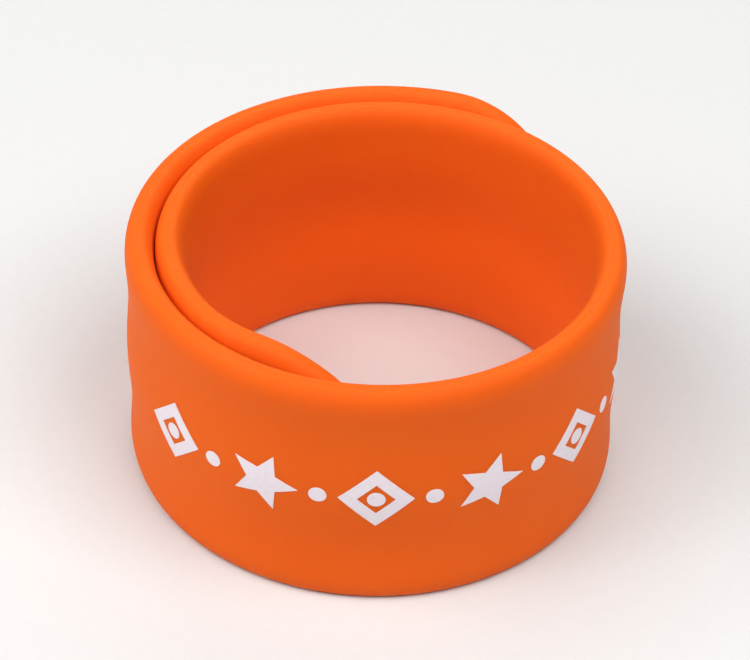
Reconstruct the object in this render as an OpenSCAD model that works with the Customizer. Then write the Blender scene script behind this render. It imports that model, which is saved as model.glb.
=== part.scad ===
// Slap bracelet, curled into the coil that it takes round a wrist and standing
// on one rim. A strip of spring steel is sealed in the pocket of a silicone
// band with round ends. The centre line of the band is a chain of tangent arcs
// that runs clockwise, seen from above, from the inner end to the outer one.
// Millimetres, +Z up, origin under the middle of the coil where it stands.

/* [Band] */
// Length of the band when it lies straight
band_len = 225; // [205:1:245]
// Width of the band, which is the height of the coil
band_w = 25; // [22:0.5:30]
// Thickness of the band, with both skins of silicone
band_t = 2.7; // [2.3:0.1:3.6]
// Rounding along the rims of the band
rim_r = 1.15; // [0.4:0.05:1.35]

/* [Coil] */
// Diameter of the open space inside the coil
coil_d = 39; // [34:0.2:48]
// Space between two turns that lie on each other
turn_gap = 0.2; // [0.15:0.05:0.8]
// Plan angle at which the inner turn leaves its tucked end
start_angle = 212; // [180:1:240]
// Angle that the band turns through in the tight bend before its inner end
tuck_angle = 31; // [12:1:38]
// Radius of that tight bend, as a share of the turn that it leaves
tuck_share = 0.75; // [0.7:0.01:0.95]
// Bend radius of the outer end, flatter than the turn that it leaves
outer_end_r = 36; // [30:1:80]

/* [Spring] */
// Width of the steel strip
blade_w = 18; // [12:0.5:20]
// Thickness of the steel strip
blade_t = 0.25; // [0.15:0.05:0.5]
// Space round the strip in its pocket
blade_gap = 0.1; // [0.05:0.05:0.3]

/* [Hidden] */
$fn = 96;

// Narrow flat that the rounding leaves at least, for the coil to stand on
rim_flat_min = 0.2;
edge_r = min(rim_r, (band_t - rim_flat_min) / 2);

// Each turn of the coil is wider than the one inside it by this much
pitch = band_t + turn_gap;
inner_r = (coil_d + band_t) / 2;
middle_r = inner_r + pitch / 2;
outer_r = inner_r + pitch;

// The half turns swap between two centres, so touching turns stay parallel
coil_centre = [0, 0];
side_centre = pitch / 2 * heading(start_angle);

// Columns of an arc of the centre line: its centre, its radius and the plan
// angles between which it runs, clockwise from the first to the second
CENTRE = 0;
RADIUS = 1;
FROM = 2;
TO = 3;

// Tight bend that tucks the inner end against the turn outside it
tucked_r = inner_r - pitch / 2;
tuck_r = neat(tucked_r * tuck_share);
tuck_centre = side_centre + (tucked_r - tuck_r) * heading(start_angle);

// Each end is a half round as wide as the band, and bends with its own radius
end_r = band_w / 2;
inner_base_angle = start_angle + tuck_angle;
inner_base = tuck_centre + tuck_r * heading(inner_base_angle);
inner_end_r = neat(bend_to_meet(inner_base, inner_base_angle, side_centre, tucked_r, end_r));
inner_end_centre = inner_base - inner_end_r * heading(inner_base_angle);

// The outer turn takes the length that the rest of the band leaves
outer_len = band_len - 2 * end_r - arc_length(tuck_r, tuck_angle)
    - arc_length(inner_r, 180) - arc_length(middle_r, 180);
outer_angle = neat(arc_angle(outer_r, outer_len));
outer_base_angle = start_angle - outer_angle;
outer_end_centre = coil_centre + (outer_r - outer_end_r) * heading(outer_base_angle);

turns = [
    [tuck_centre, tuck_r, inner_base_angle, start_angle],
    [coil_centre, inner_r, start_angle, start_angle - 180],
    [side_centre, middle_r, start_angle + 180, start_angle],
    [coil_centre, outer_r, start_angle, outer_base_angle]
];

// Flat panels that make up the bend of a round end. Each is a hair smaller
// than the one before it and starts a little inside it
end_panels = 4;
panel_step = 0.02;
panel_lap = 0.1;

// The strip reaches into the round ends until its corners meet their rim wall
pocket_w = blade_w + 2 * blade_gap;
pocket_t = blade_t + 2 * blade_gap;
skin_t = (band_t - pocket_t) / 2;
pocket_reach = sqrt(pow(end_r - skin_t, 2) - pow(pocket_w / 2, 2));
blade_reach = pocket_reach - blade_gap;

// Middle of the box round the coil, seen from above
outline = [for (turn = turns) each face_points(turn)];
middle = (low_corner(outline) + high_corner(outline)) / 2;

function heading(angle) = [cos(angle), sin(angle)];

// Sizes that neighbours share are rounded to a thousandth, so that they meet
function neat(size) = round(size * 1000) / 1000;

function arc_length(radius, angle) = radius * angle * PI / 180;

function arc_angle(radius, length) = length / arc_length(radius, 1);

// Plan angle at which one point lies as seen from another
function bearing(from, to) = atan2(to.y - from.y, to.x - from.x);

// Radius of the bend that starts at base, square to angle, and ends on the
// circle round centre, at reach from base and anticlockwise of it
function bend_to_meet(base, angle, centre, radius, reach) =
    let (
        out = norm(base - centre),
        swing = acos((out * out + radius * radius - reach * reach) / (2 * out * radius)),
        chord = centre + radius * heading(bearing(centre, base) + swing) - base
    )
    -(chord * chord) / (2 * chord * heading(angle));

// Points of the outer face where an arc starts, ends or faces along an axis
function face_points(turn) = [
    for (angle = concat([turn[FROM], turn[TO]], [for (i = [-4:4]) i * 90]))
        if (angle <= turn[FROM] && angle >= turn[TO])
            turn[CENTRE] + (turn[RADIUS] + band_t / 2) * heading(angle)
];

function low_corner(points) = [min([for (p = points) p.x]), min([for (p = points) p.y])];

function high_corner(points) = [max([for (p = points) p.x]), max([for (p = points) p.y])];

// Section across the band, with its rims rounded, or one a step smaller
module band_section(step = 0) {
    square([band_t - 2 * step, band_w - 2 * edge_r], center = true);
    square([band_t - 2 * edge_r, band_w - 2 * step], center = true);
    for (x = [-1, 1], y = [-1, 1])
        translate([x * (band_t / 2 - edge_r), y * (band_w / 2 - edge_r)])
            circle(edge_r - step);
}

// Moves to a point in a coarse and a fine step, which keeps all its digits
module place(point) {
    coarse = [neat(point.x), neat(point.y)];
    translate([coarse.x, coarse.y, 0])
        translate([point.x - coarse.x, point.y - coarse.y, 0])
            children();
}

// Solid that a section leaves along the arc from one plan angle to another
module along_arc(centre, radius, from, to) {
    place(centre)
        translate([0, 0, band_w / 2])
            rotate_extrude(angle = neat(abs(from - to)), start = neat(min(from, to)))
                translate([radius, 0])
                    children();
}

module along_turns() {
    for (turn = turns)
        along_arc(turn[CENTRE], turn[RADIUS], turn[FROM], turn[TO])
            children();
}

// Flat round disc with the section of the band, its axis along +X
module end_disc(step) {
    rotate([0, 90, 0])
        rotate_extrude()
            intersection() {
                rotate(90)
                    band_section(step);
                translate([0, -band_t])
                    square([band_w, 2 * band_t]);
            }
}

// Round end of the band: slices of flat discs that follow its bend. It turns
// anticlockwise from its base with side 1, and clockwise with side -1
module round_end(centre, radius, base_angle, side) {
    panel_angle = neat(arc_angle(radius, end_r) / (end_panels - 0.5));
    panel_len = 2 * radius * tan(panel_angle / 2);
    lap_angle = arc_angle(radius, panel_lap);
    for (i = [0:end_panels - 1]) {
        slice_from = side * (panel_angle * max(i - 0.5, 0) - lap_angle);
        slice_to = side * panel_angle * (i + (i < end_panels - 1 ? 0.5 : 1));
        intersection() {
            along_arc(centre, radius, base_angle + slice_from, base_angle + slice_to)
                square([4 * band_t, 2 * band_w], center = true);
            place(centre)
                rotate([0, 0, base_angle + side * i * panel_angle])
                    translate([radius, -side * i * panel_len, band_w / 2])
                        end_disc((i + 1) * panel_step);
        }
    }
}

// Strip of steel, or its pocket, along the turns and into both ends
module strip(width, thickness, reach) {
    along_turns()
        square([thickness, width], center = true);
    along_arc(
        inner_end_centre, inner_end_r,
        inner_base_angle, inner_base_angle + arc_angle(inner_end_r, reach)
    )
        square([thickness, width], center = true);
    along_arc(
        outer_end_centre, outer_end_r,
        outer_base_angle, outer_base_angle - arc_angle(outer_end_r, reach)
    )
        square([thickness, width], center = true);
}

module silicone_sleeve() {
    color("#F2662A")
        translate([-middle.x, -middle.y, 0])
            difference() {
                union() {
                    along_turns()
                        band_section();
                    round_end(inner_end_centre, inner_end_r, inner_base_angle, 1);
                    round_end(outer_end_centre, outer_end_r, outer_base_angle, -1);
                }
                strip(pocket_w, pocket_t, pocket_reach);
            }
}

module spring_blade() {
    color("#B8BCC0")
        translate([-middle.x, -middle.y, 0])
            strip(blade_w, blade_t, blade_reach);
}

silicone_sleeve();
spring_blade();
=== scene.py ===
import math

import bmesh
import bpy
import numpy as np
from mathutils import Matrix, Vector


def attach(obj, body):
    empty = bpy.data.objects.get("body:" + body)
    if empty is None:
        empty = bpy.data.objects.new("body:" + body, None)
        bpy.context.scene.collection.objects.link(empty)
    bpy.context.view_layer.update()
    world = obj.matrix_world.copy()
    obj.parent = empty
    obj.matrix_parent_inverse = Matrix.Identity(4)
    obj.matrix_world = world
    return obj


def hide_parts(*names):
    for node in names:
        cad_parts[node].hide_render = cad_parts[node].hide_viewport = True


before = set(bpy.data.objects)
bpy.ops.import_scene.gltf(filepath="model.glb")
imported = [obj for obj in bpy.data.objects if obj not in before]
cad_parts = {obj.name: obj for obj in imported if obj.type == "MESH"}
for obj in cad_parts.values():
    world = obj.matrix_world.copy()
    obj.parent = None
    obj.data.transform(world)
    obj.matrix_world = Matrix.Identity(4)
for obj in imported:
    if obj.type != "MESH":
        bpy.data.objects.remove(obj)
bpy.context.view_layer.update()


# Spring steel strip, sealed inside the band
# A cold rolled and hardened strip, slit from a wide coil, that curls up by
# itself. It is the CAD solid as packed, with the finish of rolled steel.

MM = 0.001
roll_line_gap = 0.4 * MM
roll_line_run = 17 * MM


def colour(hex_code):
    """Linear colour with alpha from the sRGB hex code of a swatch."""
    parts = [int(hex_code[i:i + 2], 16) / 255 for i in (1, 3, 5)]
    linear = [c / 12.92 if c <= 0.04045 else ((c + 0.055) / 1.055) ** 2.4 for c in parts]
    return (*linear, 1.0)


def add_node(tree, kind, sockets=None, **settings):
    """One node with its settings. A socket takes a value, another node's output
    or a list of outputs."""
    node = tree.nodes.new(kind)
    for setting, value in settings.items():
        setattr(node, setting, value)
    for socket, value in (sockets or {}).items():
        for source in value if isinstance(value, list) else [value]:
            if isinstance(source, bpy.types.NodeSocket):
                tree.links.new(source, node.inputs[socket])
            else:
                node.inputs[socket].default_value = source
    return node


def new_finish(name):
    """Empty material with its shader, its output and Object coordinates."""
    finish = bpy.data.materials.new(name)
    finish.use_nodes = True
    tree = finish.node_tree
    tree.nodes.clear()
    shader = add_node(tree, "ShaderNodeBsdfPrincipled")
    add_node(tree, "ShaderNodeOutputMaterial", {"Surface": shader.outputs["BSDF"]})
    place = add_node(tree, "ShaderNodeTexCoord").outputs["Object"]
    return finish, tree, shader, place


# Cold rolled spring steel: fine lines along the strip from the rolls, so the
# gloss smears across them. They are drawn 0.4 mm apart, coarser than they are.
rolled_steel, tree, shader, place = new_finish("cold_rolled_spring_steel")
along_strip = add_node(
    tree, "ShaderNodeMapping",
    {"Vector": place, "Scale": (1 / roll_line_run, 1 / roll_line_run, 1 / roll_line_gap)},
)
roll_lines = add_node(
    tree, "ShaderNodeTexNoise",
    {"Vector": along_strip.outputs["Vector"], "Scale": 1.0, "Detail": 3.0},
)
steel_tones = add_node(
    tree, "ShaderNodeMix",
    {"Factor": roll_lines.outputs["Fac"], "A": colour("#A9ADB1"), "B": colour("#C6C9CC")},
    data_type="RGBA",
)
steel_gloss = add_node(
    tree, "ShaderNodeMapRange",
    {"Value": roll_lines.outputs["Fac"], "To Min": 0.26, "To Max": 0.42},
)
tree.links.new(steel_tones.outputs["Result"], shader.inputs["Base Color"])
tree.links.new(steel_gloss.outputs["Result"], shader.inputs["Roughness"])
shader.inputs["Metallic"].default_value = 1.0
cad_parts["spring_blade"].material_slots[0].material = rolled_steel


# Silicone band
# One piece of soft orange silicone, moulded flat round the strip, with full
# round ends and rounded rims. A fine groove along the rims is left where the
# halves of the mould met. The strip then curls it into the coil.

# The turns press on each other, so the band is a hair thicker than its CAD
# solid and its turns lie closer
band_len = 225 * MM
band_w = 25 * MM
band_t = 2.8 * MM
rim_depth = 1.2 * MM
rim_height = 2.6 * MM
rim_fullness = 2.3
groove_half = 0.2 * MM
groove_deep = 0.04 * MM
face_wave = 0.15 * MM
waves_across = 2
wave_drop = 0.5
coil_d = 38.9 * MM
turn_gap = 0.05 * MM
start_angle = 212
tuck_angle = 31
tuck_share = 0.75
outer_end_r = 36 * MM

# How finely the mesh is cut: places round each end and along each side, and
# across half the flat part and round each side of the rim
end_places = 65
side_places = 401
flat_cuts = 12
rim_places = 17

grain_width = 0.3 * MM
drift_width = 12 * MM


def heading(angle):
    """Unit vector at a plan angle in degrees."""
    return np.array([math.cos(math.radians(angle)), math.sin(math.radians(angle))])


def arc_degrees(radius, length):
    """Angle that an arc of this radius and length spans."""
    return math.degrees(length / radius)


def coil_arcs():
    """Arcs of the centre line, clockwise from the inner end to the outer one:
    centre, radius, plan angle at the start and plan angle at the end."""
    pitch = band_t + turn_gap
    inner_r = (coil_d + band_t) / 2
    middle_r = inner_r + pitch / 2
    outer_r = inner_r + pitch
    coil_centre = np.zeros(2)
    side_centre = pitch / 2 * heading(start_angle)
    tucked_r = inner_r - pitch / 2
    tuck_r = tucked_r * tuck_share
    tuck_centre = side_centre + (tucked_r - tuck_r) * heading(start_angle)
    base_angle = start_angle + tuck_angle
    base = tuck_centre + tuck_r * heading(base_angle)
    end_r = band_w / 2
    # The inner end bends so that its tip lies against the turn outside it
    out = base - side_centre
    reach = np.linalg.norm(out)
    swing = math.acos((reach ** 2 + tucked_r ** 2 - end_r ** 2) / (2 * reach * tucked_r))
    bearing = math.degrees(math.atan2(out[1], out[0]) + swing)
    chord = side_centre + tucked_r * heading(bearing) - base
    tip_r = -chord.dot(chord) / (2 * chord.dot(heading(base_angle)))
    tip_centre = base - tip_r * heading(base_angle)
    tip_angle = base_angle + arc_degrees(tip_r, end_r)
    # The outer turn takes the length that is left
    outer_len = (
        band_len - 2 * end_r - math.radians(tuck_angle) * tuck_r
        - math.pi * (inner_r + middle_r)
    )
    turned = start_angle - arc_degrees(outer_r, outer_len)
    end_centre = (outer_r - outer_end_r) * heading(turned)
    return [
        (tip_centre, tip_r, tip_angle, base_angle),
        (tuck_centre, tuck_r, base_angle, start_angle),
        (coil_centre, inner_r, start_angle, start_angle - 180),
        (side_centre, middle_r, start_angle + 180, start_angle),
        (coil_centre, outer_r, start_angle, turned),
        (end_centre, outer_end_r, turned, turned - arc_degrees(outer_end_r, end_r)),
    ]


def coil_points(offset, step):
    """Points at an offset from the centre line, a step apart, inner end first."""
    points = []
    for centre, radius, first, last in coil_arcs():
        count = max(2, round(math.radians(first - last) * radius / step))
        for angle in np.linspace(first, last, count, endpoint=False):
            points.append(centre + (radius + offset) * heading(angle))
    points.append(centre + (radius + offset) * heading(last))
    return np.array(points)


# The strip's line as a curve, outer end first, in the middle of the coil's box
outer_face = coil_points(band_t / 2, step=0.05 * MM)
middle = (outer_face.min(0) + outer_face.max(0)) / 2
line_points = coil_points(0, step=0.4 * MM)[::-1] - middle
line_curve = bpy.data.curves.new("spring_line", "CURVE")
line_curve.dimensions = "3D"
line_spline = line_curve.splines.new("POLY")
line_spline.points.add(len(line_points) - 1)
for point, (x, y) in zip(line_spline.points, line_points):
    point.co = (x, y, 0, 1)
spring_line = bpy.data.objects.new("spring_line", line_curve)
bpy.context.scene.collection.objects.link(spring_line)


def rim_section():
    """Half section of the flat band, from the middle of the back over the rim
    to the middle of the printed side: distance from the middle and height."""
    half_t = band_t / 2
    half_w = band_w / 2
    flat_half = half_w - rim_height
    back = [(reach, -half_t) for reach in np.linspace(0, flat_half, flat_cuts, endpoint=False)]
    for angle in np.linspace(-90, 0, rim_places):
        x, z = abs(heading(angle)) ** (2 / rim_fullness) * (rim_height, rim_depth)
        back.append((flat_half + x, rim_depth - half_t - z))
    # The groove sinks in between the roundings of the two sides
    for depth_share, half_share in ((0, 1), (0.25, 0.7), (0.75, 0.35)):
        back.append((half_w - groove_deep * depth_share, -groove_half * half_share))
    front = [(reach, -height) for reach, height in reversed(back)]
    return back + [(half_w - groove_deep, 0)] + front


def flat_band():
    """The band as it leaves the mould: the rim's section walked round it."""
    straight = band_len / 2 - band_w / 2
    walk = [(straight, angle) for angle in np.linspace(-90, 90, end_places)]
    walk += [(x, 90) for x in np.linspace(straight, -straight, side_places)[1:-1]]
    walk += [(-straight, angle) for angle in np.linspace(90, 270, end_places)]
    walk += [(x, 270) for x in np.linspace(-straight, straight, side_places)[1:-1]]
    section = rim_section()
    mesh = bmesh.new()
    rows = []
    for x, angle in walk:
        across = heading(angle)
        rows.append([
            mesh.verts.new((x + reach * across[0], reach * across[1], height))
            for reach, height in section
        ])
    for row, after in zip(rows, rows[1:] + rows[:1]):
        for i in range(len(section) - 1):
            mesh.faces.new((row[i], after[i], after[i + 1], row[i + 1]))
    bmesh.ops.remove_doubles(mesh, verts=mesh.verts, dist=0.005 * MM)
    bmesh.ops.recalc_face_normals(mesh, faces=mesh.faces)
    flat = bpy.data.meshes.new("flat_band")
    mesh.to_mesh(flat)
    mesh.free()
    flat.shade_smooth()
    return flat


def add_inputs(tree, *inputs):
    """Gives a tree its named inputs and its one output, the work. Returns the
    places where the inputs are read."""
    for name, kind in inputs:
        tree.interface.new_socket(name, in_out="INPUT", socket_type="NodeSocket" + kind)
    tree.interface.new_socket("Work", in_out="OUTPUT", socket_type="NodeSocketGeometry")
    return add_node(tree, "NodeGroupInput").outputs


# Bends flat work along the strip's line. The flat band lies with its printed
# side up and the outer end at the left, which is how it reads from outside.
curl = bpy.data.node_groups.new("curl_along_spring", "GeometryNodeTree")
curl_inputs = (
    ("Flat work", "Geometry"), ("Spring line", "Object"), ("Band length", "Float"),
    ("Band width", "Float"), ("Face wave", "Float"),
)
curl_sizes = {
    "Spring line": spring_line,
    "Band length": band_len,
    "Band width": band_w,
    "Face wave": face_wave,
}
given = add_inputs(curl, *curl_inputs)
line = add_node(curl, "GeometryNodeObjectInfo", {"Object": given["Spring line"]})
flat_place = add_node(
    curl, "ShaderNodeSeparateXYZ",
    {"Vector": add_node(curl, "GeometryNodeInputPosition").outputs["Position"]},
).outputs
along = add_node(
    curl, "ShaderNodeMath", {0: given["Band length"], 1: 0.5, 2: flat_place["X"]},
    operation="MULTIPLY_ADD",
).outputs[0]
up = add_node(
    curl, "ShaderNodeMath", {0: given["Band width"], 1: 0.5, 2: flat_place["Y"]},
    operation="MULTIPLY_ADD",
).outputs[0]

# Across its width the band waves a little. The bowed strip holds it out in the
# middle, and between there and the rims it lies further in.
across = add_node(
    curl, "ShaderNodeMath", {0: flat_place["Y"], 1: given["Band width"]}, operation="DIVIDE",
).outputs[0]
wave_angle = add_node(
    curl, "ShaderNodeMath", {0: across, 1: waves_across * math.tau}, operation="MULTIPLY",
).outputs[0]
wave = add_node(curl, "ShaderNodeMath", {0: wave_angle}, operation="COSINE").outputs[0]
lowered_wave = add_node(
    curl, "ShaderNodeMath", {0: wave, 1: wave_drop}, operation="SUBTRACT",
).outputs[0]
height = add_node(
    curl, "ShaderNodeMath", {0: lowered_wave, 1: given["Face wave"], 2: flat_place["Z"]},
    operation="MULTIPLY_ADD",
).outputs[0]

on_line = add_node(
    curl, "GeometryNodeSampleCurve",
    {"Curves": line.outputs["Geometry"], "Length": along}, mode="LENGTH",
)
square_out = add_node(
    curl, "ShaderNodeVectorMath",
    {0: on_line.outputs["Tangent"], 1: (0, 0, 1)}, operation="CROSS_PRODUCT",
)
outward = add_node(
    curl, "ShaderNodeVectorMath", {0: square_out.outputs[0]}, operation="NORMALIZE",
)
off_line = add_node(
    curl, "ShaderNodeVectorMath",
    {0: outward.outputs[0], "Scale": height}, operation="SCALE",
)
above = add_node(curl, "ShaderNodeCombineXYZ", {"Z": up})
beside = add_node(
    curl, "ShaderNodeVectorMath", {0: on_line.outputs["Position"], 1: off_line.outputs[0]},
)
curled_place = add_node(
    curl, "ShaderNodeVectorMath", {0: beside.outputs[0], 1: above.outputs[0]},
)
curled = add_node(
    curl, "GeometryNodeSetPosition",
    {"Geometry": given["Flat work"], "Position": curled_place.outputs[0]},
)
add_node(curl, "NodeGroupOutput", {"Work": curled.outputs["Geometry"]})


def curl_and_coat(tree, given, flat_work, material):
    """Ends a tree: curls its flat work along the strip, and makes it plain
    geometry with its material."""
    curling = add_node(tree, "GeometryNodeGroup", node_tree=curl)
    tree.links.new(flat_work, curling.inputs["Flat work"])
    for name in curl_sizes:
        tree.links.new(given[name], curling.inputs[name])
    plain = add_node(
        tree, "GeometryNodeRealizeInstances", {"Geometry": curling.outputs["Work"]},
    )
    coated = add_node(
        tree, "GeometryNodeSetMaterial",
        {"Geometry": plain.outputs["Geometry"], "Material": material},
    )
    add_node(tree, "NodeGroupOutput", {"Work": coated.outputs["Geometry"]})


def make_piece(name, flat, tree, sizes):
    """Object made by a tree with these sizes, turned into a plain mesh."""
    piece = bpy.data.objects.new(name, flat)
    bpy.context.scene.collection.objects.link(piece)
    modifier = piece.modifiers.new("making", "NODES")
    modifier.node_group = tree
    for socket in tree.interface.items_tree:
        if socket.in_out == "INPUT" and socket.name in sizes:
            modifier[socket.identifier] = sizes[socket.name]
    made = piece.evaluated_get(bpy.context.evaluated_depsgraph_get())
    mesh = bpy.data.meshes.new_from_object(made)
    piece.modifiers.clear()
    piece.data = mesh
    mesh.name = name
    return piece


# Moulded silicone rubber: matt with a soft sheen from the fine blasted grain of
# the mould, and a little see-through, so thin rims glow. The grain is drawn
# 0.3 mm wide, coarser than it is, and the colour drifts a little over 12 mm.
silicone, tree, shader, place = new_finish("moulded_silicone")
grain = add_node(
    tree, "ShaderNodeTexNoise", {"Vector": place, "Scale": 1 / grain_width, "Detail": 2.0},
)
drift = add_node(
    tree, "ShaderNodeTexNoise", {"Vector": place, "Scale": 1 / drift_width, "Detail": 2.0},
)
orange = add_node(
    tree, "ShaderNodeMix",
    {"Factor": drift.outputs["Fac"], "A": colour("#E65E0E"), "B": colour("#EA6212")},
    data_type="RGBA",
)
sheen = add_node(
    tree, "ShaderNodeMapRange",
    {"Value": grain.outputs["Fac"], "To Min": 0.60, "To Max": 0.72},
)
grain_bump = add_node(
    tree, "ShaderNodeBump",
    {"Height": grain.outputs["Fac"], "Strength": 0.35, "Distance": 0.02 * MM},
)
drift_bump = add_node(
    tree, "ShaderNodeBump",
    {"Height": drift.outputs["Fac"], "Strength": 0.5, "Distance": 0.15 * MM,
     "Normal": grain_bump.outputs["Normal"]},
)
tree.links.new(orange.outputs["Result"], shader.inputs["Base Color"])
tree.links.new(sheen.outputs["Result"], shader.inputs["Roughness"])
tree.links.new(drift_bump.outputs["Normal"], shader.inputs["Normal"])
shader.inputs["IOR"].default_value = 1.41
shader.inputs["Specular IOR Level"].default_value = 0.19
shader.inputs["Subsurface Weight"].default_value = 0.4
shader.inputs["Subsurface Radius"].default_value = (1.0, 0.3, 0.1)
shader.inputs["Subsurface Scale"].default_value = 1.6 * MM

band_tree = bpy.data.node_groups.new("curled_band", "GeometryNodeTree")
given = add_inputs(band_tree, *curl_inputs, ("Silicone", "Material"))
curl_and_coat(band_tree, given, given["Flat work"], given["Silicone"])

band = make_piece("silicone_band", flat_band(), band_tree, {**curl_sizes, "Silicone": silicone})
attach(band, "root")
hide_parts("silicone_sleeve")


# Printed shapes
# A plain row of diamonds, stars and dots in white ink, screen printed along
# the middle of the outer side before the band curls. The film is thin but stands
# a little proud of the silicone.

shape_count = 9
shape_spacing = 10.1 * MM
row_height = 0.5 * MM
shape_r = 3.3 * MM
stroke_w = 1.15 * MM
star_points = 5
star_notch_r = 1.5 * MM
dot_r = 0.8 * MM
dot_corners = 24
ink_t = 0.06 * MM
ink_sunk = 0.02 * MM
film_edge_angle = math.radians(40)
mottle_width = 0.5 * MM

# Screen printed silicone ink: matt, a shade of pink where the orange shows
# through the film. The mottle from the screen is drawn 0.5 mm wide to show.
ink, tree, shader, place = new_finish("screen_printed_ink")
mottle = add_node(
    tree, "ShaderNodeTexNoise", {"Vector": place, "Scale": 1 / mottle_width, "Detail": 2.0},
)
ink_tones = add_node(
    tree, "ShaderNodeMix",
    {"Factor": mottle.outputs["Fac"], "A": colour("#E2D6DE"), "B": colour("#EEE6EC")},
    data_type="RGBA",
)
ink_bump = add_node(
    tree, "ShaderNodeBump",
    {"Height": mottle.outputs["Fac"], "Strength": 0.3, "Distance": 0.02 * MM},
)
tree.links.new(ink_tones.outputs["Result"], shader.inputs["Base Color"])
tree.links.new(ink_bump.outputs["Normal"], shader.inputs["Normal"])
shader.inputs["Roughness"].default_value = 0.6

print_tree = bpy.data.node_groups.new("printed_row", "GeometryNodeTree")
given = add_inputs(
    print_tree, *curl_inputs, ("Shape count", "Int"), ("Shape spacing", "Float"),
    ("Shape radius", "Float"), ("Inner radius", "Float"), ("Star points", "Int"),
    ("Notch radius", "Float"), ("Dot radius", "Float"), ("Row height", "Float"),
    ("Film bottom", "Float"), ("Film thickness", "Float"), ("Ink", "Material"),
)


def filled(*curves):
    """Flat shape between closed curves, as an instance."""
    joined = add_node(print_tree, "GeometryNodeJoinGeometry", {"Geometry": list(curves)})
    face = add_node(
        print_tree, "GeometryNodeFillCurve", {"Curve": joined.outputs["Geometry"]},
    )
    return add_node(
        print_tree, "GeometryNodeGeometryToInstance", {"Geometry": face.outputs["Mesh"]},
    ).outputs[0]


def row(count, first_at, shapes, which):
    """Shapes at even spacing along the band."""
    step = add_node(print_tree, "ShaderNodeCombineXYZ", {"X": given["Shape spacing"]})
    start = add_node(print_tree, "ShaderNodeCombineXYZ", {"X": first_at})
    points = add_node(
        print_tree, "GeometryNodeMeshLine",
        {"Count": count, "Start Location": start.outputs[0], "Offset": step.outputs[0]},
        mode="OFFSET",
    )
    return add_node(
        print_tree, "GeometryNodeInstanceOnPoints",
        {"Points": points.outputs["Mesh"], "Instance": shapes, "Pick Instance": True,
         "Instance Index": which},
    ).outputs["Instances"]


# The outlines, drawn flat. A circle with four corners is a diamond.
diamond_outside, diamond_inside, dot = [
    add_node(
        print_tree, "GeometryNodeCurvePrimitiveCircle",
        {"Resolution": corners, "Radius": given[radius]},
    ).outputs["Curve"]
    for corners, radius in ((4, "Shape radius"), (4, "Inner radius"), (dot_corners, "Dot radius"))
]
star = add_node(
    print_tree, "GeometryNodeCurveStar",
    {"Points": given["Star points"], "Inner Radius": given["Notch radius"],
     "Outer Radius": given["Shape radius"]},
).outputs["Curve"]
shapes = add_node(
    print_tree, "GeometryNodeJoinGeometry",
    {"Geometry": [filled(star), filled(diamond_outside, diamond_inside, dot)]},
).outputs["Geometry"]

# The two large shapes take turns along the row, and a dot lies in each gap
place_in_row = add_node(print_tree, "GeometryNodeInputIndex").outputs["Index"]
turn_about = add_node(
    print_tree, "ShaderNodeMath", {0: place_in_row, 1: 2.0}, operation="MODULO",
).outputs[0]
gaps = add_node(
    print_tree, "ShaderNodeMath", {0: given["Shape count"], 1: 1.0}, operation="SUBTRACT",
).outputs[0]
half_gaps = add_node(
    print_tree, "ShaderNodeMath", {0: gaps, 1: -0.5}, operation="MULTIPLY",
).outputs[0]
row_start = add_node(
    print_tree, "ShaderNodeMath", {0: half_gaps, 1: given["Shape spacing"]},
    operation="MULTIPLY",
).outputs[0]
dots_from = add_node(
    print_tree, "ShaderNodeMath", {0: given["Shape spacing"], 1: 0.5, 2: row_start},
    operation="MULTIPLY_ADD",
).outputs[0]
main_row = row(given["Shape count"], row_start, shapes, turn_about)
dot_row = row(gaps, dots_from, filled(dot), 0)
both_rows = add_node(
    print_tree, "GeometryNodeJoinGeometry", {"Geometry": [main_row, dot_row]},
)
sheet = add_node(
    print_tree, "GeometryNodeRealizeInstances", {"Geometry": both_rows.outputs["Geometry"]},
)

# The film of ink, cut fine enough to bend and closed all round
fine_sheet = add_node(
    print_tree, "GeometryNodeSubdivideMesh", {"Mesh": sheet.outputs["Geometry"], "Level": 3},
)
film_top = add_node(
    print_tree, "GeometryNodeExtrudeMesh",
    {"Mesh": fine_sheet.outputs["Mesh"], "Offset Scale": given["Film thickness"],
     "Individual": False},
)
film_back = add_node(
    print_tree, "GeometryNodeFlipFaces", {"Mesh": fine_sheet.outputs["Mesh"]},
)
film = add_node(
    print_tree, "GeometryNodeJoinGeometry",
    {"Geometry": [film_top.outputs["Mesh"], film_back.outputs["Mesh"]]},
)
closed_film = add_node(
    print_tree, "GeometryNodeMergeByDistance",
    {"Geometry": film.outputs["Geometry"], "Distance": 0.002 * MM},
)
film_place = add_node(
    print_tree, "ShaderNodeCombineXYZ", {"Y": given["Row height"], "Z": given["Film bottom"]},
)
placed_film = add_node(
    print_tree, "GeometryNodeTransform",
    {"Geometry": closed_film.outputs["Geometry"], "Translation": film_place.outputs[0]},
)
curl_and_coat(print_tree, given, placed_film.outputs["Geometry"], given["Ink"])

printing = make_piece("printed_shapes", bpy.data.meshes.new("blank"), print_tree, {
    **curl_sizes,
    "Shape count": shape_count,
    "Shape spacing": shape_spacing,
    "Shape radius": shape_r,
    "Inner radius": shape_r - stroke_w * math.sqrt(2),
    "Star points": star_points,
    "Notch radius": star_notch_r,
    "Dot radius": dot_r,
    "Row height": row_height,
    "Film bottom": band_t / 2 - ink_sunk,
    "Film thickness": ink_t,
    "Ink": ink,
})
printing.data.shade_smooth()
printing.data.set_sharp_from_angle(angle=film_edge_angle)
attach(printing, "root")
bpy.data.objects.remove(spring_line)


# Floor
# A wide sheet of matt white board, as in a light tent. The tooth of the board
# is drawn 1.1 mm wide, coarser than it is.

floor_half = 3.0
tooth_width = 1.1 * MM

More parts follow.
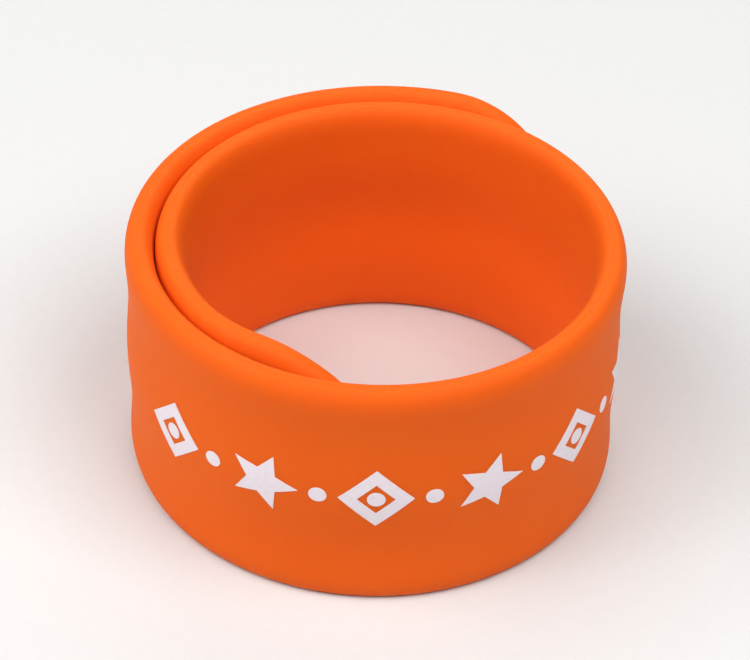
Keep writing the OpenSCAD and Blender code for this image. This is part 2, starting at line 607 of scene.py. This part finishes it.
corners = [(-floor_half, -floor_half, 0), (floor_half, -floor_half, 0),
           (floor_half, floor_half, 0), (-floor_half, floor_half, 0)]
floor_mesh = bpy.data.meshes.new("floor")
floor_mesh.from_pydata(corners, [], [(0, 1, 2, 3)])
floor = bpy.data.objects.new("floor", floor_mesh)
bpy.context.scene.collection.objects.link(floor)
board, tree, shader, place = new_finish("matt_white_board")
tooth = add_node(
    tree, "ShaderNodeTexNoise", {"Vector": place, "Scale": 1 / tooth_width, "Detail": 2.0},
)
board_tones = add_node(
    tree, "ShaderNodeMix",
    {"Factor": tooth.outputs["Fac"], "A": colour("#D2D2D1"), "B": colour("#D6D6D5")},
    data_type="RGBA",
)
tree.links.new(board_tones.outputs["Result"], shader.inputs["Base Color"])
shader.inputs["Roughness"].default_value = 0.9
floor_mesh.materials.append(board)


# Light
# A light tent: a little even light from all sides, and square soft boxes round
# the coil and above it, strongest at the front right.

tent_strength = 0.05
box_width = 0.6
coil_middle = Vector((0, 0, band_w / 2))

tent = bpy.data.worlds.new("light_tent")
tent.use_nodes = True
tent_light = tent.node_tree.nodes["Background"]
tent_light.inputs["Color"].default_value = colour("#FFFFFF")
tent_light.inputs["Strength"].default_value = tent_strength
bpy.context.scene.world = tent

for name, stands_at, power in (
    ("front_right_box", (0.33, -0.27, 0.74), 5.58),
    ("front_left_box", (-0.37, -0.33, 0.69), 3.60),
    ("left_box", (-0.63, -0.09, 0.57), 3.20),
    ("right_box", (0.67, -0.18, 0.49), 0.40),
    ("back_box", (0.00, 0.70, 0.49), 2.24),
):
    light = bpy.data.lights.new(name, "AREA")
    light.shape = "SQUARE"
    light.size = box_width
    light.energy = power
    lamp = bpy.data.objects.new(name, light)
    lamp.location = stands_at
    lamp.rotation_euler = (coil_middle - lamp.location).to_track_quat("-Z", "Y").to_euler()
    bpy.context.scene.collection.objects.link(lamp)
bpy.context.scene.view_settings.view_transform = "Standard"


# Camera
# At the photograph's angle: 39 degrees above the floor, a quarter of a metre
# from the coil, through a long lens, and turned a little to one side.

camera_height_angle = math.radians(39.143)
camera_roll = math.radians(1.811)
camera_distance = 273.904 * MM
camera_aim = Vector((0.167, 0.077, 12.5)) * MM

camera_data = bpy.data.cameras.new("camera")
camera_data.lens = 135.017
camera_data.sensor_width = 36
camera_data.clip_start = 0.01
camera_data.clip_end = 20
camera = bpy.data.objects.new("camera", camera_data)
bpy.context.scene.collection.objects.link(camera)
backward = Vector((0, -math.cos(camera_height_angle), math.sin(camera_height_angle)))
level_right = Vector((1, 0, 0))
level_up = backward.cross(level_right)
right = level_right * math.cos(camera_roll) + level_up * math.sin(camera_roll)
upward = level_up * math.cos(camera_roll) - level_right * math.sin(camera_roll)
turned = Matrix((right, upward, backward)).transposed().to_4x4()
camera.matrix_world = Matrix.Translation(camera_aim + backward * camera_distance) @ turned
bpy.context.scene.camera = camera
